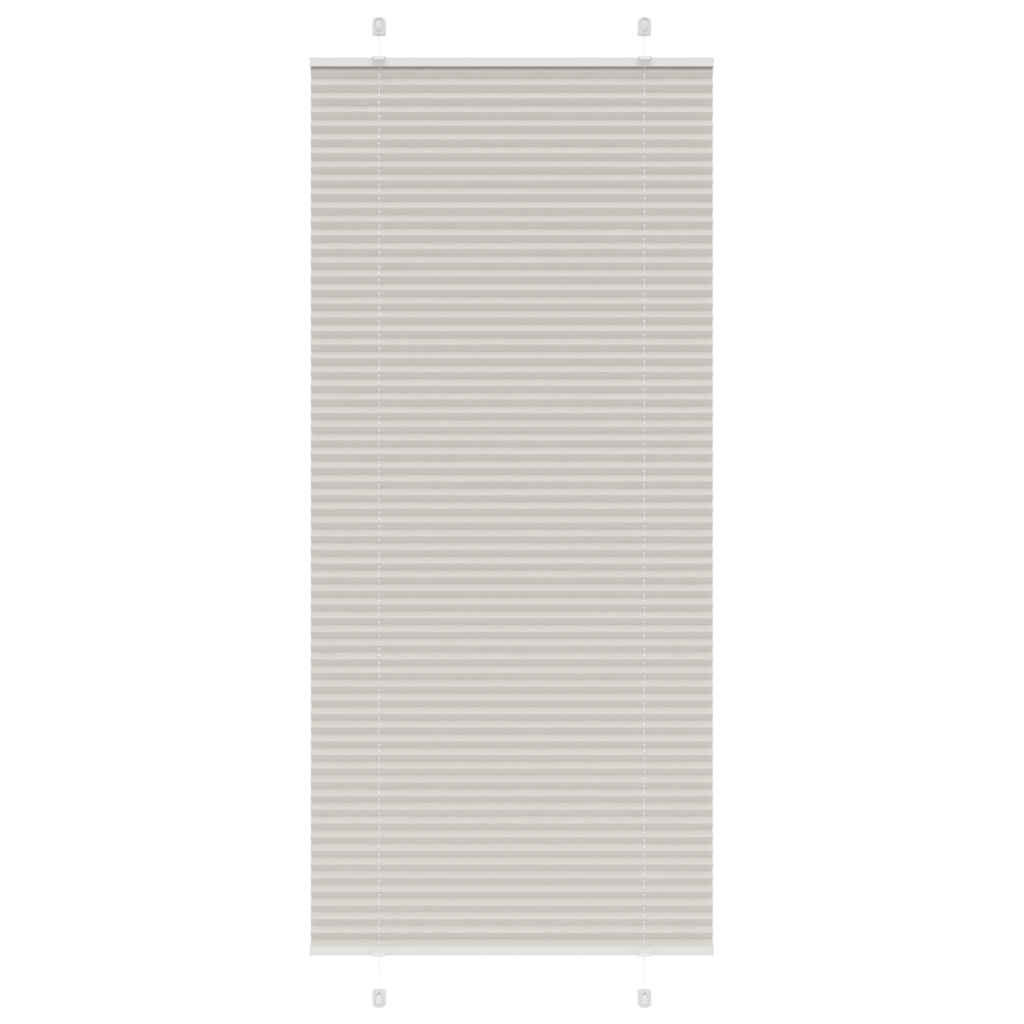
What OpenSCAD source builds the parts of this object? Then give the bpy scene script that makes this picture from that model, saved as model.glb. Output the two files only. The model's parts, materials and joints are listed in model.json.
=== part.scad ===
// Pleated blind whose two rails slide on taut cords between four tension shoes.
// Millimetres, +Z up, +X right, and -Y towards the room.
// The origin is the centre of the four screw holes, on the window frame's face (Y = 0).

/* [Overall] */
// Width of both rails over their end caps
rail_length = 900; // [400:10:1500]
// Height over both rails with the fabric drawn right out
drop = 2000; // [600:10:2400]
// Gap between the top rail and the top shoes
top_gap = 52; // [20:1:120]
// Gap between the bottom rail and the bottom shoes
bottom_gap = 80; // [20:1:120]
// Distance from each end of a rail to the cord nearest to it
cord_inset = 154; // [60:1:170]
// Gap between the rails' backs and the window frame
rail_back_gap = 1.5; // [1:0.5:6]

/* [Pleated fabric] */
// Length of one pleat face, from fold to fold
pleat_face = 20; // [19:0.5:25]
// Distance between two front folds at full drop, before it is fitted to the drop
pleat_opening = 30.5; // [24:0.5:34]
// Distance from the top rail's lower edge to the first front fold
first_fold_drop = 9.5; // [4:0.5:10]
// Thickness of the fabric
fabric_t = 0.4; // [0.2:0.05:0.6]
// Distance from the end of a rail to the fabric's side edge
fabric_margin = 1.5; // [1:0.5:2.5]
// Width of the punched cord holes
cord_hole_d = 4; // [3:0.5:5]
// Sides of a punched hole: few, because the sheet has hundreds of holes
cord_hole_sides = 8; // [6:2:12]

/* [Rails] */
// Height of a rail
rail_h = 20; // [17:0.5:26]
// How far a rail reaches past the folded pleats, in front and behind
rail_cover = 2; // [1.8:0.1:4]
// Wall of the rail profile
rail_wall = 1.4; // [1:0.1:1.6]
// Radius of the profile's two outer corners
rail_corner_r = 2; // [1:0.1:3]
// Thickness of the strip that holds the fabric in a rail
strip_t = 2.4; // [1.6:0.1:3]
// Thickness of an end cap outside the rail
cap_t = 3.5; // [2.5:0.5:5]
// How far an end cap stands out all round the rail
cap_rim = 0.8; // [0:0.1:1]
// Length of an end cap's plug inside the rail
cap_plug = 12; // [6:1:20]

/* [Cords and guides] */
// Diameter of the cord
cord_d = 1.2; // [0.8:0.1:1.6]
// Length of a cord guide along the rail
guide_l = 36; // [24:1:48]
// Diameter of the guide's neck, which stands out of the rail
neck_d = 9; // [7:0.5:11]
// How far the neck stands out of the rail
neck_out = 1.2; // [0.5:0.1:3]
// Diameter of the chamber in which the cords turn
chamber_d = 8; // [7:0.5:10]
// Height of the chamber
chamber_h = 7; // [5:0.5:8]

/* [Grips] */
// Width of a grip
grip_w = 32; // [26:1:40]
// How far a grip reaches out of the rail's front
grip_reach = 17; // [10:1:25]
// Thickness of the grip's tongue
grip_t = 3; // [2:0.5:4]
// Height of the lip at the grip's front edge
grip_lip_h = 8; // [4.5:0.5:9]
// Thickness of that lip
grip_lip_t = 3; // [2:0.5:4]
// Height of the pad that fixes the grip to the rail
grip_pad_h = 12; // [8:0.5:14]
// Thickness of that pad
grip_pad_t = 1.6; // [1:0.1:2.5]
// Radius of the grip's two front corners
grip_corner_r = 12; // [3:0.5:13]

/* [Tension shoes] */
// Width of a shoe
shoe_w = 29; // [26:0.5:36]
// Height of a shoe
shoe_h = 38.5; // [36:0.5:48]
// Depth of a shoe, from the window frame to its front
shoe_d = 22; // [20:0.5:28]
// Radius of the rounded outer end
shoe_dome_r = 19; // [18.5:0.5:22]
// Thickness of the wall behind the core
shoe_back = 9; // [6:0.5:10]
// Height of the screw hole above the shoe's inner end
screw_offset = 23; // [20:0.5:25]
// Diameter of the screw hole
screw_d = 4.2; // [3:0.1:5]
// Diameter of the sink for the screw's head, which the core covers
screw_head_d = 8.4; // [7:0.1:9.5]
// Depth of that sink
screw_sink = 4; // [2:0.5:4.5]
// Width of the cord nozzle
nozzle_d = 10; // [7:0.5:12]
// How far the nozzle stands out of the inner end
nozzle_out = 1.5; // [1:0.1:3]
// Width of the core
core_w = 15; // [11:0.5:18]
// Height of the core above the shoe's inner end, at its outer end
core_top = 31; // [28:0.5:32]
// Height at which the core starts to taper
core_shoulder = 15.5; // [12:0.5:18]
// Height of the core's tip
core_tip = 4.5; // [3:0.5:6]
// Width of the core's tip
core_tip_w = 5; // [4:0.5:7]
// How far the core lies behind the shoe's front
core_sunk = 0.6; // [0.2:0.1:2]
// How far the core's front slopes back towards its tip
core_slope = 4; // [2:0.5:6.5]
// Height of the sloping scoop at the core's outer end
scoop_h = 5; // [3:0.5:5]
// Depth of the scoop
scoop_d = 3; // [2:0.5:8]
// Width of the scoop
scoop_w = 11; // [8:0.5:14]
// Depth to which the cord's end goes into the core
cord_in_core = 10; // [4:0.5:12]

/* [Clearances] */
// Gap round a cord in a hole that slides along it
slide_gap = 0.4; // [0.2:0.05:0.6]
// Gap round a cord in a hole that holds it
hold_gap = 0.2; // [0.1:0.05:0.4]
// Gap between pieces that are pushed into each other
fit_gap = 0.2; // [0.1:0.05:0.4]

/* [Hidden] */
left = -1;
right = 1;
top = 1;
bottom = -1;
front = -1;
rear = 1;
$fn = 64;
cut = 1;

rail_d = pleat_face + 2 * rail_cover;
rail_inner_d = rail_d - 2 * rail_wall;
profile_l = rail_length - 2 * cap_t;
cord_x = rail_length / 2 - cord_inset;
cord_y = -(rail_d / 2 + rail_back_gap);

// Heights of the shoes' inner ends and of the rails' edges towards the fabric
shoe_z = (top_gap + drop + bottom_gap) / 2;
top_edge_z = shoe_z - top_gap - rail_h;
bottom_edge_z = -(shoe_z - bottom_gap - rail_h);

// Folds: the hems lie against the strips, and the last front fold meets the lower hem
hem_z = rail_wall - fabric_t / 2;
first_fold_z = top_edge_z - first_fold_drop;
last_fold_z = bottom_edge_z - hem_z;
pleat_count = round((first_fold_z - last_fold_z) / pleat_opening);
fold_step = (first_fold_z - last_fold_z) / pleat_count / 2;
pleat_depth = sqrt(pleat_face * pleat_face - fold_step * fold_step);
pleat_angle = atan2(fold_step, pleat_depth);
fabric_w = rail_length - 2 * fabric_margin;
fabric_across = fabric_t * pleat_face / fold_step;
mouth = pleat_depth + fabric_across + 2 * fit_gap;
top_hem_y = -pleat_depth / 2 + pleat_depth * (first_fold_drop + hem_z) / fold_step;

// Inside of a rail, measured from its edge towards the fabric
strip_z = rail_wall;
guide_z = strip_z + strip_t;
guide_h = rail_h - rail_wall - fit_gap - guide_z;
chamber_z = guide_z + guide_h / 2;
crossing_y = cord_d / 2 + slide_gap + cord_d / 2;

// Inside of a shoe, measured from its inner end
core_front = shoe_d - core_sunk;
cord_end = core_tip + cord_in_core;

// Puts a shape drawn upwards from a shoe's inner end at one of the four shoes
module at_shoe(side, level) {
    translate([side * cord_x, 0, level * shoe_z])
        mirror([0, 0, level == top ? 0 : 1])
            children();
}

// Puts a shape drawn outwards from a rail's edge, about the cord plane, on the top or bottom rail
module at_rail(level) {
    translate([0, cord_y, level == top ? top_edge_z : bottom_edge_z])
        mirror([0, 0, level == top ? 0 : 1])
            children();
}

// Draws an outline in Y and Z, and extrudes it both ways along X
module along_x(length) {
    rotate([90, 0, 90])
        linear_extrude(height = length, center = true)
            children();
}

// Draws an outline in X and Z, and extrudes it from one depth to another in front of the frame
module along_y(from, to) {
    translate([0, -from, 0])
        rotate([90, 0, 0])
            linear_extrude(height = to - from)
                children();
}

// Fabric

// Points of the folded sheet's middle line, from the upper hem to the lower one
function fold_points() = concat(
    [[top_hem_y, top_edge_z + hem_z]],
    [for (i = [0 : 2 * pleat_count])
        [(i % 2 == 0 ? -1 : 1) * pleat_depth / 2, first_fold_z - i * fold_step]]
);

module fold_outline() {
    line = fold_points();
    last = len(line) - 1;
    polygon(concat(
        [for (p = line) p - [fabric_across / 2, 0]],
        [for (i = [last : -1 : 0]) line[i] + [fabric_across / 2, 0]]
    ));
}

// Flat hem that lies on the strip, given its two edges and its height
module hem(from_y, to_y, z) {
    translate([-fabric_w / 2, from_y, z - fabric_t / 2])
        cube([fabric_w, to_y - from_y, fabric_t]);
}

// One punched hole, measured across its flats
module punch(depth) {
    cylinder(d = cord_hole_d / cos(180 / cord_hole_sides), h = depth, center = true, $fn = cord_hole_sides);
}

// Holes punched square to each face and each hem where a cord passes
module cord_holes() {
    for (side = [left, right]) {
        for (i = [-1 : 2 * pleat_count - 1])
            translate([side * cord_x, 0, first_fold_z - (i + 0.5) * fold_step])
                rotate([(i % 2 == 0 ? -1 : 1) * pleat_angle, 0, 0])
                    punch(4 * fabric_t);
        for (z = [top_edge_z + hem_z, bottom_edge_z - hem_z])
            translate([side * cord_x, 0, z])
                punch(2 * fabric_t);
    }
}

module pleated_fabric() {
    color([0.84, 0.83, 0.81])
        translate([0, cord_y, 0])
            difference() {
                union() {
                    along_x(fabric_w)
                        fold_outline();
                    hem(fit_gap - mouth / 2, top_hem_y + fabric_across / 2, top_edge_z + hem_z);
                    hem(-(pleat_depth + fabric_across) / 2, mouth / 2 - fit_gap, bottom_edge_z - hem_z);
                }
                cord_holes();
            }
}

// Cords

module cord(side) {
    color([0.93, 0.93, 0.92])
        translate([side * cord_x, cord_y, 0])
            cylinder(d = cord_d, h = 2 * (shoe_z + cord_end), center = true);
}

module crossing_cord(level, face) {
    color([0.93, 0.93, 0.92])
        at_rail(level)
            translate([0, face * crossing_y, chamber_z])
                rotate([0, 90, 0])
                    cylinder(d = cord_d, h = 2 * cord_x, center = true);
}

// Tension shoes

module shoe_outline() {
    translate([-shoe_w / 2, 0])
        square([shoe_w, shoe_h - shoe_dome_r]);
    intersection() {
        translate([-shoe_w / 2, shoe_h - shoe_dome_r])
            square([shoe_w, shoe_dome_r]);
        translate([0, shoe_h - shoe_dome_r])
            circle(r = shoe_dome_r, $fn = 128);
    }
}

// Front outline of the core, made larger by a gap for its pocket
module core_outline(gap = 0) {
    polygon([
        [-core_w / 2 - gap, core_top + gap],
        [-core_w / 2 - gap, core_shoulder],
        [-core_tip_w / 2 - gap, core_tip - gap],
        [core_tip_w / 2 + gap, core_tip - gap],
        [core_w / 2 + gap, core_shoulder],
        [core_w / 2 + gap, core_top + gap]
    ]);
}

// The screw goes in before the core, through the wall behind it
module screw_hole() {
    translate([0, 0, screw_offset])
        rotate([90, 0, 0]) {
            translate([0, 0, -cut])
                cylinder(d = screw_d, h = shoe_back + 2 * cut);
            translate([0, 0, shoe_back - screw_sink])
                cylinder(d = screw_head_d, h = screw_sink + cut);
        }
}

// Sloping scoop from which the core is pushed out
module scoop() {
    along_x(scoop_w)
        polygon([
            [-shoe_d - cut, core_top],
            [-shoe_d + scoop_d, core_top],
            [-shoe_d, core_top + scoop_h],
            [-shoe_d - cut, core_top + scoop_h]
        ]);
}

module shoe(side, level) {
    color([0.90, 0.90, 0.89])
        at_shoe(side, level)
            difference() {
                union() {
                    along_y(0, shoe_d)
                        shoe_outline();
                    translate([0, cord_y, -nozzle_out])
                        cylinder(d = nozzle_d, h = nozzle_out + core_tip / 2);
                }
                along_y(shoe_back, shoe_d + cut)
                    core_outline(fit_gap);
                scoop();
                translate([0, cord_y, -nozzle_out - cut])
                    cylinder(d = cord_d + 2 * hold_gap, h = nozzle_out + core_tip + cut);
                screw_hole();
            }
}

// Core that holds the cord's end, with a front that slopes back to its tip
module cord_core(side, level) {
    color([0.95, 0.95, 0.94])
        at_shoe(side, level)
            difference() {
                along_y(shoe_back, core_front)
                    core_outline();
                along_x(core_w + 2 * cut)
                    polygon([
                        [-core_front, core_shoulder],
                        [-core_front + core_slope, core_tip],
                        [-core_front + core_slope, core_tip - cut],
                        [-core_front - cut, core_tip - cut],
                        [-core_front - cut, core_shoulder]
                    ]);
                translate([0, cord_y, core_tip - cut])
                    cylinder(d = cord_d + 2 * hold_gap, h = cord_in_core + cut);
            }
}

// Rails

// Section of a rail's outside, with the corners away from the fabric rounded, made larger by a rim
module rail_outline(rim = 0) {
    translate([-rail_d / 2 - rim, -rim])
        square([rail_d + 2 * rim, rail_h - rail_corner_r + rim]);
    translate([-rail_d / 2 + rail_corner_r, -rim])
        square([rail_d - 2 * rail_corner_r, rail_h + 2 * rim]);
    for (face = [front, rear])
        translate([face * (rail_d / 2 - rail_corner_r), rail_h - rail_corner_r])
            circle(r = rail_corner_r + rim);
}

module rail_profile(level) {
    color([0.91, 0.91, 0.90])
        at_rail(level)
            difference() {
                along_x(profile_l)
                    difference() {
                        rail_outline();
                        translate([-rail_inner_d / 2, rail_wall])
                            square([rail_inner_d, rail_h - 2 * rail_wall]);
                        translate([-mouth / 2, -cut])
                            square([mouth, rail_wall + 2 * cut]);
                    }
                for (side = [left, right])
                    translate([side * cord_x, 0, rail_h - rail_wall - cut])
                        cylinder(d = neck_d + 2 * fit_gap, h = rail_wall + 2 * cut);
            }
}

module fabric_strip(level) {
    color([0.88, 0.88, 0.86])
        at_rail(level)
            difference() {
                translate([-profile_l / 2 + fit_gap, -rail_inner_d / 2 + fit_gap, strip_z])
                    cube([profile_l - 2 * fit_gap, rail_inner_d - 2 * fit_gap, strip_t]);
                for (side = [left, right])
                    translate([side * cord_x, 0, strip_z - cut])
                        cylinder(d = cord_d + 2 * slide_gap, h = strip_t + 2 * cut);
            }
}

// The notch lets the fabric's hem reach past the end of the profile
module end_cap(side, level) {
    notch_l = cap_t - fabric_margin + fit_gap;
    color([0.93, 0.93, 0.92])
        at_rail(level)
            difference() {
                union() {
                    translate([side * (rail_length - cap_t) / 2, 0, 0])
                        along_x(cap_t)
                            rail_outline(cap_rim);
                    translate([side * (profile_l - cap_plug) / 2, 0, guide_z + guide_h / 2 + fit_gap / 2])
                        cube([cap_plug, rail_inner_d - 2 * fit_gap, guide_h - fit_gap], center = true);
                }
                translate([side * (profile_l + notch_l) / 2, 0, (strip_z - cap_rim - cut) / 2])
                    cube([notch_l, mouth, strip_z + cap_rim + cut], center = true);
            }
}

module cord_guide(side, level) {
    color([0.86, 0.86, 0.85])
        at_rail(level)
            translate([side * cord_x, 0, 0])
                difference() {
                    union() {
                        translate([-guide_l / 2, -rail_inner_d / 2 + fit_gap, guide_z])
                            cube([guide_l, rail_inner_d - 2 * fit_gap, guide_h]);
                        translate([0, 0, guide_z])
                            cylinder(d = neck_d, h = rail_h + neck_out - guide_z);
                    }
                    translate([0, 0, guide_z - cut])
                        cylinder(d = cord_d + 2 * slide_gap, h = rail_h + neck_out + 2 * cut);
                    translate([0, 0, chamber_z])
                        cylinder(d = chamber_d, h = chamber_h, center = true);
                    for (face = [front, rear])
                        translate([-side * guide_l / 4, face * crossing_y, chamber_z])
                            rotate([0, 90, 0])
                                cylinder(d = cord_d + 2 * hold_gap, h = guide_l / 2 + 2 * cut, center = true);
                }
}

// Grip in front of the rail: the pad, the tongue, and the lip with its round edges
module grip_body() {
    face_y = -rail_d / 2;
    lip_y = face_y - grip_reach;
    lip_r = grip_lip_t / 2;
    root_z = rail_h - rail_corner_r;
    along_x(grip_w)
        polygon([
            [face_y, root_z],
            [lip_y + lip_r, rail_h],
            [lip_y, rail_h - lip_r],
            [lip_y, rail_h - grip_lip_h + lip_r],
            [lip_y + lip_r, rail_h - grip_lip_h],
            [lip_y + grip_lip_t, rail_h - grip_lip_h + lip_r],
            [lip_y + grip_lip_t, rail_h - grip_t],
            [face_y - grip_pad_t, root_z - grip_t],
            [face_y - grip_pad_t, root_z - grip_pad_h],
            [face_y, root_z - grip_pad_h]
        ]);
    for (z = [rail_h - lip_r, rail_h - grip_lip_h + lip_r])
        translate([0, lip_y + lip_r, z])
            rotate([0, 90, 0])
                cylinder(d = grip_lip_t, h = grip_w, center = true);
}

// What is cut off a grip's front corner to round it
module grip_corner(side) {
    reach = grip_corner_r + cut;
    translate([side * (grip_w / 2 - grip_corner_r), grip_corner_r - rail_d / 2 - grip_reach, -cut])
        difference() {
            translate([side == right ? 0 : -reach, -reach, 0])
                cube([reach, reach, rail_h + 2 * cut]);
            cylinder(r = grip_corner_r, h = rail_h + 2 * cut);
        }
}

module grip(side, level) {
    color([0.94, 0.94, 0.93])
        at_rail(level)
            translate([side * cord_x, 0, 0])
                difference() {
                    grip_body();
                    for (corner = [left, right])
                        grip_corner(corner);
                }
}

pleated_fabric();
cord(left);  // left_cord
cord(right);  // right_cord
shoe(left, top);  // top_left_shoe
shoe(right, top);  // top_right_shoe
shoe(left, bottom);  // bottom_left_shoe
shoe(right, bottom);  // bottom_right_shoe
cord_core(left, top);  // top_left_cord_core
cord_core(right, top);  // top_right_cord_core
cord_core(left, bottom);  // bottom_left_cord_core
cord_core(right, bottom);  // bottom_right_cord_core
rail_profile(top);  // top_rail_profile
fabric_strip(top);  // top_rail_fabric_strip
end_cap(left, top);  // top_rail_left_cap
end_cap(right, top);  // top_rail_right_cap
cord_guide(left, top);  // top_rail_left_guide
cord_guide(right, top);  // top_rail_right_guide
grip(left, top);  // top_rail_left_grip
grip(right, top);  // top_rail_right_grip
crossing_cord(top, front);  // top_rail_front_crossing_cord
crossing_cord(top, rear);  // top_rail_rear_crossing_cord
rail_profile(bottom);  // bottom_rail_profile
fabric_strip(bottom);  // bottom_rail_fabric_strip
end_cap(left, bottom);  // bottom_rail_left_cap
end_cap(right, bottom);  // bottom_rail_right_cap
cord_guide(left, bottom);  // bottom_rail_left_guide
cord_guide(right, bottom);  // bottom_rail_right_guide
grip(left, bottom);  // bottom_rail_left_grip
grip(right, bottom);  // bottom_rail_right_grip
crossing_cord(bottom, front);  // bottom_rail_front_crossing_cord
crossing_cord(bottom, rear);  // bottom_rail_rear_crossing_cord
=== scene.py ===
import bpy
import bmesh
import json
import math
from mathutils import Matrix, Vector, noise

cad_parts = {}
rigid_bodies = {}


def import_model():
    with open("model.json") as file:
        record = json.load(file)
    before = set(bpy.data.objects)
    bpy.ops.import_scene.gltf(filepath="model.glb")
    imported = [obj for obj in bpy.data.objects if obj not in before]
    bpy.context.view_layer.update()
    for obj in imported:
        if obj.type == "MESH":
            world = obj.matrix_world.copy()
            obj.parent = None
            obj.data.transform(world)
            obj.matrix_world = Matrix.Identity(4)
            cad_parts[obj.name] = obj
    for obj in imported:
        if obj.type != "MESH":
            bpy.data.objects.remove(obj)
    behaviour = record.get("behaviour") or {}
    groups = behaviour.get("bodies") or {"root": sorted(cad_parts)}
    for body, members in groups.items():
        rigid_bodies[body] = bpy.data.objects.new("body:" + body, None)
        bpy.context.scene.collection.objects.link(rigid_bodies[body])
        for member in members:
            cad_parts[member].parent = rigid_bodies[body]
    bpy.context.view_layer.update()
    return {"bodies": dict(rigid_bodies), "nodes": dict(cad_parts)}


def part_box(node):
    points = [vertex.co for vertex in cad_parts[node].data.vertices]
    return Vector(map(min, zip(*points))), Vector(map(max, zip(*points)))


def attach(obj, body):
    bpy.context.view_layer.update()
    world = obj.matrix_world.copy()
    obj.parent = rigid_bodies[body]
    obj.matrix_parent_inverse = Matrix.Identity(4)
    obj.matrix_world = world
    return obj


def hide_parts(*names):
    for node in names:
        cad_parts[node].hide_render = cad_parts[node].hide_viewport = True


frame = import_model()
nodes, bodies = frame["nodes"], frame["bodies"]
sides = ("left", "right")


class Num:  # one output of a node, which sums and products can use
    def __init__(self, maker, socket):
        self.maker, self.socket = maker, socket

    def at(self, name):
        return Num(self.maker, self.socket.node.outputs[name])

    def do(self, operation, *values):
        return self.maker.node("ShaderNodeMath", {"operation": operation}, list(values))

    def __add__(self, other):
        return self.do("ADD", self, other)

    def __radd__(self, other):
        return self.do("ADD", other, self)

    def __sub__(self, other):
        return self.do("SUBTRACT", self, other)

    def __rsub__(self, other):
        return self.do("SUBTRACT", other, self)

    def __mul__(self, other):
        return self.do("MULTIPLY", self, other)

    def __rmul__(self, other):
        return self.do("MULTIPLY", other, self)

    def __truediv__(self, other):
        return self.do("DIVIDE", self, other)

    def __rtruediv__(self, other):
        return self.do("DIVIDE", other, self)

    def __gt__(self, other):
        return self.do("GREATER_THAN", self, other)

    def __abs__(self):
        return self.do("ABSOLUTE", self)

    def sine(self):
        return self.do("SINE", self)

    def root(self):
        return self.do("SQRT", self.do("MAXIMUM", self, 0.0))


class Maker:  # adds nodes to one tree
    def __init__(self, tree):
        self.tree = tree

    def node(self, kind, settings=None, inputs=None):
        made = self.tree.nodes.new(kind)
        for name, value in (settings or {}).items():
            setattr(made, name, value)
        pairs = enumerate(inputs) if isinstance(inputs, list) else (inputs or {}).items()
        for name, value in pairs:
            if isinstance(value, Num):
                self.tree.links.new(value.socket, made.inputs[name])
            else:
                made.inputs[name].default_value = value
        return Num(self, made.outputs[0] if made.outputs else None)

    def blend(self, share, first, second):  # colours go in at 6 and 7 and come out at 2
        mix = self.node("ShaderNodeMix", {"data_type": "RGBA"}, {0: share, 6: first, 7: second})
        return Num(self, mix.socket.node.outputs[2])

    def grain(self, where, scale, detail=2.0):
        return self.node("ShaderNodeTexNoise", {}, {"Vector": where, "Scale": scale, "Detail": detail})

    def bump(self, height, strength, distance):
        return self.node("ShaderNodeBump", {},
                         {"Strength": strength, "Distance": distance, "Height": height})


def rgb(red, green, blue):  # screen values to linear ones
    return tuple(((c / 255 + 0.055) / 1.055) ** 2.4 for c in (red, green, blue)) + (1.0,)


def newMaterial(name):
    mat = bpy.data.materials.new(name)
    mat.use_nodes = True
    mat.node_tree.nodes.clear()
    return mat, Maker(mat.node_tree)


def surface(maker, sockets):
    bsdf = maker.node("ShaderNodeBsdfPrincipled", {}, sockets)
    maker.node("ShaderNodeOutputMaterial", {}, {"Surface": bsdf})


pureWhite = rgb(255, 255, 255)


# camera: level with the middle of the blind

view = {"lens": 82.1, "sensor": 36.0, "distance": 5.2, "right": 0.0004, "up": 0.0013}
camera = bpy.data.objects.new("camera", bpy.data.cameras.new("camera"))
camera.data.lens, camera.data.sensor_width = view["lens"], view["sensor"]
camera.location = (view["right"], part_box("top_rail_profile")[0].y - view["distance"], view["up"])
camera.rotation_euler = (math.radians(90), 0.0, 0.0)
bpy.context.collection.objects.link(camera)
bpy.context.scene.camera = camera
print("camera: placed")


# taut cords

# the cord's dark colour is painted shade in the grooves between the strands
cords = {"diameter": 0.0012, "points": 24, "roundness": 3, "strands": 8, "lay": 0.0022,
         "light": rgb(252, 252, 251), "dark": rgb(238, 238, 237), "rough": 0.75, "roughDrop": 0.15,
         "bump": 0.6, "relief": 0.00008}
cordMiddle = {side: sum(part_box(f"{side}_cord"), Vector()) / 2 for side in sides}


def braidMaterial():
    mat, m = newMaterial("braidedCord")
    spot = m.node("ShaderNodeSeparateXYZ", {}, [m.node("ShaderNodeTexCoord").at("Object")])
    turn = spot.do("ARCTAN2", spot.at("Y"), spot.at("X")) * (cords["strands"] / 2)
    climb = spot.at("Z") * (2 * math.pi / cords["lay"])
    height = abs((turn + climb).sine()) * 0.5 + abs((turn - climb).sine()) * 0.5
    # painted shade: the braid's colour darkens where the strands lie low, in the grooves between them
    surface(m, {"Base Color": m.blend(height, cords["dark"], cords["light"]),
                "Roughness": cords["rough"] - height * cords["roughDrop"],
                "Normal": m.bump(height, cords["bump"], cords["relief"])})
    return mat


braid = braidMaterial()


def makeCord(side):
    low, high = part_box(f"{side}_cord")
    middle = cordMiddle[side]
    curve = bpy.data.curves.new(f"{side}Cord", "CURVE")
    curve.dimensions, curve.use_fill_caps = "3D", True
    curve.bevel_depth, curve.bevel_resolution = cords["diameter"] / 2, cords["roundness"]
    spline = curve.splines.new("POLY")
    spline.points.add(cords["points"] - 1)
    for i, point in enumerate(spline.points):
        point.co = (0.0, 0.0, high.z + (low.z - high.z) * i / (cords["points"] - 1), 1.0)
    piece = bpy.data.objects.new(f"{side}Cord", curve)
    piece.location = (middle.x, middle.y, 0.0)
    bpy.context.collection.objects.link(piece)
    curve.materials.append(braid)
    bpy.context.view_layer.update()
    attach(piece, "window_fittings")
    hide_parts(f"{side}_cord")


for side in sides:
    makeCord(side)
print("cords: taut from shoe to shoe")


# pleated cloth

# the cloth's dark colour is partly painted shade between the woven threads and partly the yarn's own slub
# tone
clothLook = {"light": rgb(219, 216, 211), "dark": rgb(207, 204, 199), "thread": 0.00045,
             "slubAcross": 40, "slubAlong": 900, "slubShare": 0.55, "bump": 0.5, "relief": 0.00006,
             "rough": 0.86, "roughDrop": 0.12, "shine": 0.25, "fuzz": 0.12, "fuzzRough": 0.5,
             "glow": 0.45, "glowReach": 0.0006}


def clothMaterial():
    mat, m = newMaterial("pleatedCloth")
    spot = m.node("ShaderNodeSeparateXYZ", {}, [m.node("ShaderNodeUVMap", {"uv_map": "cutSheet"})])
    across, along = spot.at("X"), spot.at("Y")  # metres on the cut sheet
    warp = (across * (math.pi / clothLook["thread"])).sine()
    weft = (along * (math.pi / clothLook["thread"])).sine()
    over = warp * weft > 0.0
    height = over * abs(warp) + (1 - over) * abs(weft)
    yarn = [across * clothLook["slubAcross"], along * clothLook["slubAlong"], 0.0]
    slub = m.grain(m.node("ShaderNodeCombineXYZ", {}, yarn), 1.0, 3.0)
    # painted shade between the threads (the height share) mixed with the yarn's own slub tone, which
    # varies at random
    tone = height * (1 - clothLook["slubShare"]) + slub * clothLook["slubShare"]
    surface(m, {"Base Color": m.blend(tone, clothLook["dark"], clothLook["light"]),
                "Roughness": clothLook["rough"] - slub * clothLook["roughDrop"],
                "Specular IOR Level": clothLook["shine"],
                "Sheen Weight": clothLook["fuzz"], "Sheen Roughness": clothLook["fuzzRough"],
                "Subsurface Weight": clothLook["glow"], "Subsurface Scale": clothLook["glowReach"],
                "Subsurface Radius": (1.0, 1.0, 1.0),
                "Normal": m.bump(height, clothLook["bump"], clothLook["relief"])})
    return mat


clothLow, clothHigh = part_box("pleated_fabric")
pleats = {"width": clothHigh.x - clothLow.x, "face": 0.020, "count": 64, "columns": 25,
          "firstFold": 0.0095, "lip": 0.0012, "hemEnd": 0.0003, "thick": 0.00035, "fold": 0.00035,
          "hole": 0.002, "holeSides": 16, "holeFrame": 0.0032,
          "wander": 0.00012, "wanderX": 3.1, "wanderZ": 19.0, "wanderSeed": 4.7,
          "rides": 0.002,  # so near a rail the cloth moves with it
          "puff": 0.00022, "shutDepth": 0.95,  # shut folds swell and get blunter
          "crease": 18}  # degrees
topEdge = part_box("top_rail_profile")[0].z
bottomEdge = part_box("bottom_rail_profile")[1].z
pleatY = cordMiddle["left"].y


def clothLine():  # folds of the sheet in y and z, from the upper hem's edge to the lower one's
    first, last = topEdge - pleats["firstFold"], bottomEdge - pleats["lip"]
    step = (first - last) / pleats["count"] / 2
    depth = math.sqrt(pleats["face"] ** 2 - step ** 2)
    turnY = depth * ((pleats["firstFold"] + pleats["lip"]) / step - 0.5)
    hemEnd = depth / 2 + pleats["hemEnd"]
    line = [(-hemEnd, topEdge + pleats["lip"]), (turnY, topEdge + pleats["lip"])]
    line += [((-0.5, 0.5)[i % 2] * depth, first - i * step) for i in range(2 * pleats["count"] + 1)]
    return line + [(hemEnd, bottomEdge - pleats["lip"])], step, depth


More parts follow.
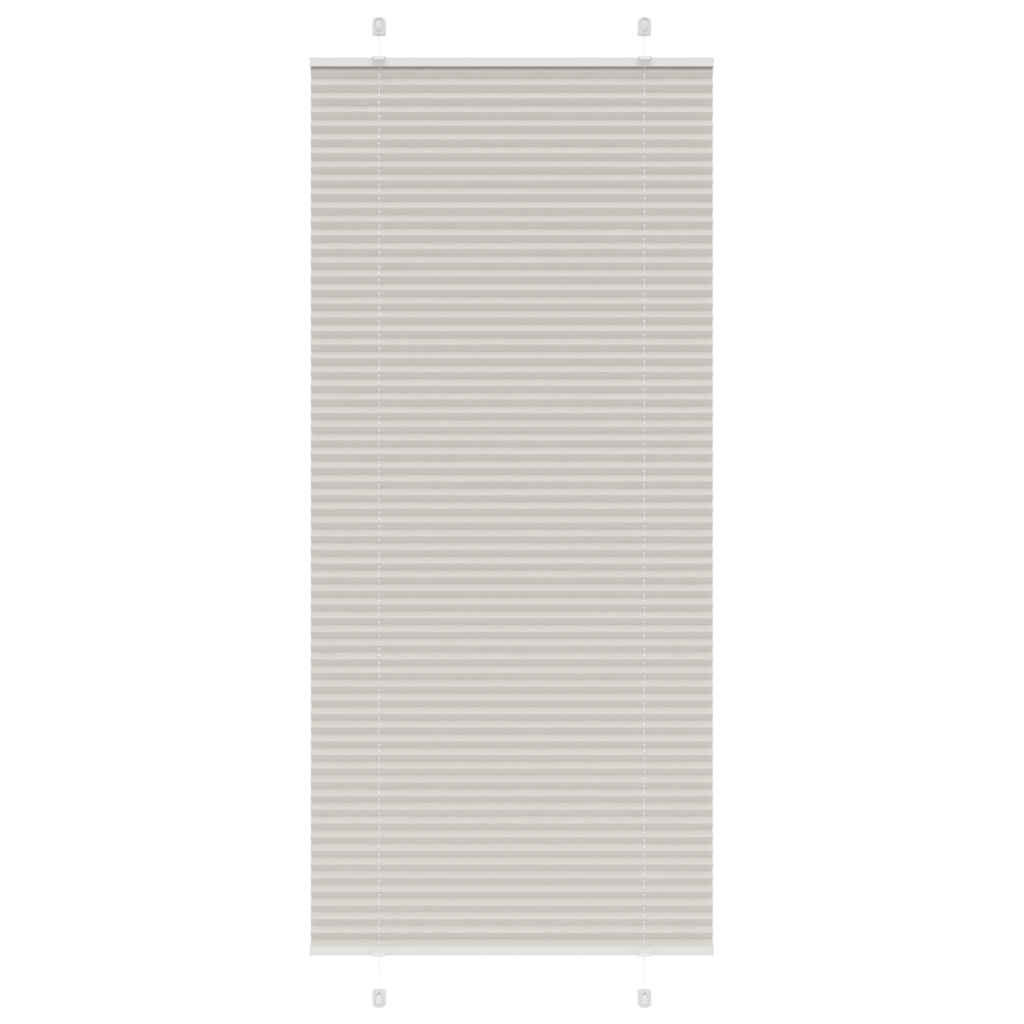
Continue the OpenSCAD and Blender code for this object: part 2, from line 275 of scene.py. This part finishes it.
def clothRows():  # (distance on the sheet, y, z, share of the depth, is it a row of holes, puff)
    line, step, depth = clothLine()
    fold, rows, run = pleats["fold"], [], 0.0
    clear = fold * 1.5  # from a fold to the frame of a hole
    puffs = (0, -1, 0, 0, 0, 1)  # the rows beside a fold move apart when it is shut
    last = len(line) - 2
    limits = {0: (0.0, 0.0), 1: (-1.0, 0.0),  # the hems keep their place
              last - 1: (0.0, 1.0), last: (0.0, 0.0)}
    for i, ((y0, z0), (y1, z1)) in enumerate(zip(line, line[1:])):
        length = math.hypot(y1 - y0, z1 - z0)
        middle = length * -y0 / (y1 - y0)
        half = min(pleats["holeFrame"], middle - clear, length - middle - clear)
        for k, mark in enumerate([0.0, fold, middle - half, middle, middle + half, length - fold]):
            t = mark / length
            y, z = y0 + (y1 - y0) * t, z0 + (z1 - z0) * t
            if k == 0 and i > 0:  # the fold itself is a little blunt
                beforeY, beforeZ = line[i - 1]
                y += (beforeY + y1 - 2 * y0) * fold / length / 4
                z += (beforeZ + z1 - 2 * z0) * fold / length / 4
            lowest, highest = limits.get(i, (-1.0, 1.0))
            share = min(highest, max(lowest, y / depth))
            if k == 0:
                share *= pleats["shutDepth"]
            rows.append((run + mark, y, z, share, k == 3, puffs[k]))
        run += length
    y, z = line[-1]
    rows.append((run, y, z, 0.0, False, 0))
    return rows, run, step, depth


def clothColumns():  # (x, is it a column of hole centres)
    half, frameHalf = pleats["width"] / 2, pleats["holeFrame"]
    cordXs = [cordMiddle[side].x for side in sides]
    plain = [-half + pleats["width"] * i / (pleats["columns"] - 1) for i in range(pleats["columns"])]
    columns = [(x, False) for x in plain if all(abs(x - c) > 2 * frameHalf for c in cordXs)]
    for c in cordXs:
        columns += [(c - frameHalf, False), (c, True), (c + frameHalf, False)]
    return sorted(columns)


def shapeNodes(piece, name):  # a modifier whose nodes are still to be made
    tree = bpy.data.node_groups.new(name, "GeometryNodeTree")
    tree.interface.new_socket("Geometry", in_out="INPUT", socket_type="NodeSocketGeometry")
    tree.interface.new_socket("Geometry", in_out="OUTPUT", socket_type="NodeSocketGeometry")
    piece.modifiers.new(name, "NODES").node_group = tree
    return Maker(tree)


def followRails(piece, step, depth, upper, lower):  # folds open and close with the rails' distance
    m = shapeNodes(piece, "followRails")
    lift = {}
    for body in ("top_rail", "bottom_rail"):
        info = m.node("GeometryNodeObjectInfo", {"transform_space": "ORIGINAL"},
                      {"Object": bodies[body]})
        lift[body] = m.node("ShaderNodeSeparateXYZ", {}, [info.at("Location")]).at("Z")
    share = {name: m.node("GeometryNodeInputNamedAttribute", {"data_type": "FLOAT"}, {"Name": name})
             for name in ("topShare", "depthShare", "puffShare")}
    spread = lift["top_rail"] - lift["bottom_rail"]
    shut = spread / (lower - upper)  # 0 at rest, nearly 1 when gathered
    rise = lift["bottom_rail"] + share["topShare"] * spread + share["puffShare"] * shut * pleats["puff"]
    opened = (1 - shut) * step
    shift = share["depthShare"] * ((pleats["face"] ** 2 - opened * opened).root() - depth)
    offset = m.node("ShaderNodeCombineXYZ", {}, [0.0, shift, rise])
    moved = m.node("GeometryNodeSetPosition", {},
                   {"Geometry": m.node("NodeGroupInput"), "Offset": offset})
    m.node("NodeGroupOutput", {}, [moved])


def keepEdgesSharp(piece, angle):
    m = shapeNodes(piece, "sharpEdges")
    sharp = m.node("GeometryNodeInputMeshEdgeAngle").at("Unsigned Angle") > math.radians(angle)
    shaded = m.node("GeometryNodeSetShadeSmooth", {"domain": "EDGE"},
                    {"Geometry": m.node("NodeGroupInput"), "Selection": sharp, "Shade Smooth": False})
    m.node("NodeGroupOutput", {}, [shaded])


def makeCloth():
    rows, length, step, depth = clothRows()
    columns = clothColumns()
    upper, lower = topEdge - pleats["rides"], bottomEdge + pleats["rides"]
    bm = bmesh.new()
    flat = bm.loops.layers.uv.new("cutSheet")
    topShare = bm.verts.layers.float.new("topShare")
    depthShare = bm.verts.layers.float.new("depthShare")
    puffShare = bm.verts.layers.float.new("puffShare")
    spot = {}
    holeSides = pleats["holeSides"]

    def vert(x, s, y, z, d, puff=0):
        place = Vector((x * pleats["wanderX"], z * pleats["wanderZ"], pleats["wanderSeed"]))
        wander = pleats["wander"] * noise.noise(place) if d else 0.0
        v = bm.verts.new((x, pleatY + y + wander, z))
        v[topShare] = min(1.0, max(0.0, (z - lower) / (upper - lower)))
        v[depthShare] = d
        v[puffShare] = puff if lower < z < upper else 0.0
        spot[v] = (x, s)
        return v

    def face(*corners):
        made = bm.faces.new(corners)
        made.smooth = True
        for loop in made.loops:
            loop[flat].uv = spot[loop.vert]

    grid = [[None if hole and centre else vert(x, s, y, z, d, puff) for x, centre in columns]
            for s, y, z, d, hole, puff in rows]

    def punch(r, c):  # ring of faces round one hole, two of its sides for each vert around it
        s, x = rows[r][0], columns[c][0]
        (s0, y0, z0, d0), (s1, y1, z1, d1) = rows[r - 1][:4], rows[r + 1][:4]
        rim = []
        for i in range(holeSides):
            a = 2 * math.pi * i / holeSides
            dx, ds = pleats["hole"] * math.cos(a), pleats["hole"] * math.sin(a)
            t = (s + ds - s0) / (s1 - s0)
            rim.append(vert(x + dx, s + ds, y0 + (y1 - y0) * t, z0 + (z1 - z0) * t, d0 + (d1 - d0) * t))
        around = [grid[r][c + 1], grid[r + 1][c + 1], grid[r + 1][c], grid[r + 1][c - 1],
                  grid[r][c - 1], grid[r - 1][c - 1], grid[r - 1][c], grid[r - 1][c + 1]]
        for i, corner in enumerate(around):
            after = around[(i + 1) % len(around)]
            face(corner, after, rim[(2 * i + 2) % holeSides], rim[2 * i + 1], rim[2 * i])

    for r in range(len(rows) - 1):
        for c in range(len(columns) - 1):
            corners = (grid[r][c], grid[r + 1][c], grid[r + 1][c + 1], grid[r][c + 1])
            if None not in corners:
                face(*corners)
    for r, row in enumerate(rows):
        for c, (x, centre) in enumerate(columns):
            if row[4] and centre:
                punch(r, c)
    bmesh.ops.recalc_face_normals(bm, faces=bm.faces)
    mesh = bpy.data.meshes.new("pleatedCloth")
    bm.to_mesh(mesh)
    bm.free()
    piece = bpy.data.objects.new("pleatedCloth", mesh)
    bpy.context.collection.objects.link(piece)
    mesh.materials.append(clothMaterial())
    followRails(piece, step, depth, upper, lower)
    thick = piece.modifiers.new("thickness", "SOLIDIFY")
    thick.thickness, thick.offset = pleats["thick"], 0.0
    keepEdgesSharp(piece, pleats["crease"])
    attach(piece, "window_fittings")
    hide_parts("pleated_fabric")
    print("cloth:", len(mesh.polygons), "faces,", round(length, 3), "m long when flat")


makeCloth()


# finishes of the rails and the moulded pieces

coatLook = {"base": rgb(226, 226, 225), "shade": rgb(221, 221, 220), "cloud": 9.0, "peel": 1400.0,
            "rough": 0.36, "roughRise": 0.14, "coat": 0.15, "coatRough": 0.3,
            "bump": 0.35, "relief": 0.00002}


def coatMaterial():
    mat, m = newMaterial("whiteCoat")
    where = m.node("ShaderNodeTexCoord").at("Object")
    cloud, peel = m.grain(where, coatLook["cloud"]), m.grain(where, coatLook["peel"], 1.0)
    surface(m, {"Base Color": m.blend(cloud, coatLook["shade"], coatLook["base"]),
                "Roughness": coatLook["rough"] + peel * coatLook["roughRise"],
                "Coat Weight": coatLook["coat"], "Coat Roughness": coatLook["coatRough"],
                "Normal": m.bump(peel, coatLook["bump"], coatLook["relief"])})
    return mat


mouldedLook = {"flow": 60.0, "roughRise": 0.12, "bump": 0.3, "relief": 0.00003}  # of all plastics
plastics = {
    "cap": {"base": rgb(228, 228, 227), "shade": rgb(223, 223, 222), "rough": 0.36, "grit": 3500},
    "grip": {"base": rgb(234, 234, 233), "shade": rgb(229, 229, 228), "rough": 0.34, "grit": 3500},
    "shoe": {"base": rgb(222, 222, 221), "shade": rgb(216, 216, 215), "rough": 0.32, "grit": 2600},
    "cord_core": {"base": rgb(228, 228, 227), "shade": rgb(223, 223, 222), "rough": 0.24, "grit": 2600},
    "guide": {"base": rgb(220, 220, 218), "shade": rgb(212, 212, 210), "rough": 0.44, "grit": 1800},
    "fabric_strip": {"base": rgb(224, 224, 222), "shade": rgb(216, 216, 214), "rough": 0.44, "grit": 1800}}


def plasticMaterial(name, look):
    mat, m = newMaterial(name)
    where = m.node("ShaderNodeTexCoord").at("Object")
    spark, flow = m.grain(where, look["grit"]), m.grain(where, mouldedLook["flow"], 3.0)
    surface(m, {"Base Color": m.blend(flow, look["shade"], look["base"]),
                "Roughness": look["rough"] + spark * mouldedLook["roughRise"],
                "Normal": m.bump(spark, mouldedLook["bump"], mouldedLook["relief"])})
    return mat


finishes = {"rail_profile": coatMaterial(), "crossing_cord": braid}
for kind, look in plastics.items():
    finishes[kind] = plasticMaterial(kind.split("_")[-1] + "Plastic", look)
edgeRadius = {"shoe": 0.0005, "cord_core": 0.0004}
edgeRules = {"corner": 35, "flat": 0.5, "crease": 30,  # degrees
             "shortest": 0.0007, "segments": 3, "weld": 0.00001}


def markEdges(piece):  # corners are rounded, the rims of small holes aren't
    m = shapeNodes(piece, "markEdges")
    ends = m.node("GeometryNodeInputMeshEdgeVertices")
    length = m.node("ShaderNodeVectorMath", {"operation": "DISTANCE"},
                    [ends.at("Position 1"), ends.at("Position 2")])
    angle = m.node("GeometryNodeInputMeshEdgeAngle").at("Signed Angle")
    corner = angle > math.radians(edgeRules["corner"])
    marked = m.node("GeometryNodeStoreNamedAttribute", {"data_type": "FLOAT", "domain": "EDGE"},
                    {"Geometry": m.node("NodeGroupInput"), "Name": "bevel_weight_edge",
                     "Value": corner * (length.at("Value") > edgeRules["shortest"])})
    m.node("NodeGroupOutput", {}, [marked])


def weld(piece, name):
    piece.modifiers.new(name, "WELD").merge_threshold = edgeRules["weld"]


def softenEdges(piece, radius, pocketed):
    weld(piece, "weld")
    flat = piece.modifiers.new("flat", "DECIMATE")
    flat.decimate_type, flat.angle_limit = "DISSOLVE", math.radians(edgeRules["flat"])
    if pocketed:  # a face with a hole in it can't stay whole
        piece.modifiers.new("split", "TRIANGULATE")
    markEdges(piece)
    bevel = piece.modifiers.new("edges", "BEVEL")
    bevel.width, bevel.segments = radius, edgeRules["segments"]
    bevel.limit_method, bevel.use_clamp_overlap = "WEIGHT", False
    weld(piece, "clean")
    piece.modifiers.new("evenShade", "WEIGHTED_NORMAL").keep_sharp = True


for name, piece in nodes.items():
    for kind, finish in finishes.items():
        if name.endswith(kind):
            for slot in piece.material_slots:
                slot.material = finish
            if kind in edgeRadius:
                softenEdges(piece, edgeRadius[kind], kind == "shoe")
            elif kind in ("grip", "cap"):  # their outlines are round already
                weld(piece, "weld")
                keepEdgesSharp(piece, edgeRules["crease"])
print("finishes:", len(finishes), "kinds")


# light and stage

light = {"ambient": 0.81, "sun": 0.88, "sunPlace": (0.0, -2.0, 3.0), "sunTilt": 38, "softness": 50,
         "bounce": 1.3, "bouncePlace": (0.0, -1.0, -1.85), "bounceTilt": 180, "bounceSize": (2.0, 0.8)}


def lamp(name, kind, energy, place, tilt):
    made = bpy.data.objects.new(name, bpy.data.lights.new(name, kind))
    made.data.energy = energy
    made.location = place
    made.rotation_euler = (math.radians(tilt), 0.0, 0.0)
    bpy.context.collection.objects.link(made)
    return made


sun = lamp("sun", "SUN", light["sun"], light["sunPlace"], light["sunTilt"])
sun.data.angle = math.radians(light["softness"])
bounce = lamp("bounce", "AREA", light["bounce"], light["bouncePlace"], light["bounceTilt"])  # shines up
bounce.data.shape = "RECTANGLE"
bounce.data.size, bounce.data.size_y = light["bounceSize"]
bounce.visible_camera = False


def seenDirectly(m):  # 1 for what the camera, a mirror or glass sees
    path = m.node("ShaderNodeLightPath")
    return path.at("Is Camera Ray") + path.at("Is Glossy Ray") + path.at("Is Transmission Ray") > 0.5


def makeWorld():
    world = bpy.data.worlds.new("studio")
    bpy.context.scene.world = world
    world.use_nodes = True
    world.node_tree.nodes.clear()
    m = Maker(world.node_tree)
    soft = m.node("ShaderNodeBackground", {}, {"Color": pureWhite, "Strength": light["ambient"]})
    white = m.node("ShaderNodeBackground", {}, {"Color": pureWhite, "Strength": 1.0})
    both = m.node("ShaderNodeMixShader", {}, [seenDirectly(m), soft, white])
    m.node("ShaderNodeOutputWorld", {}, {"Surface": both})


floorLook = {"height": -1.9, "radius": 2.4, "sides": 96, "fadeFrom": 0.7,
             "color": (0.82, 0.82, 0.82, 1.0)}


def makeFloor():
    bpy.ops.mesh.primitive_circle_add(vertices=floorLook["sides"], radius=floorLook["radius"],
                                      fill_type="NGON", location=(0.0, 0.0, floorLook["height"]))
    floor = bpy.context.object
    floor.name = "floor"
    mat, m = newMaterial("paleFloor")
    place = m.node("ShaderNodeTexCoord").at("Object")
    reach = m.node("ShaderNodeVectorMath", {"operation": "LENGTH"}, [place]).at("Value")
    fade = m.node("ShaderNodeMapRange", {"interpolation_type": "SMOOTHSTEP"},
                  {"Value": reach, "From Min": floorLook["radius"] * floorLook["fadeFrom"],
                   "From Max": floorLook["radius"]})
    matt = m.node("ShaderNodeBsdfDiffuse", {}, {"Color": floorLook["color"]})
    white = m.node("ShaderNodeEmission", {}, {"Color": pureWhite, "Strength": 1.0})
    both = m.node("ShaderNodeMixShader", {}, [fade * seenDirectly(m), matt, white])
    m.node("ShaderNodeOutputMaterial", {}, {"Surface": both})
    floor.data.materials.append(mat)


makeWorld()
makeFloor()
bpy.context.scene.view_settings.view_transform = "Standard"
print("stage: set")

bpy.context.view_layer.update()
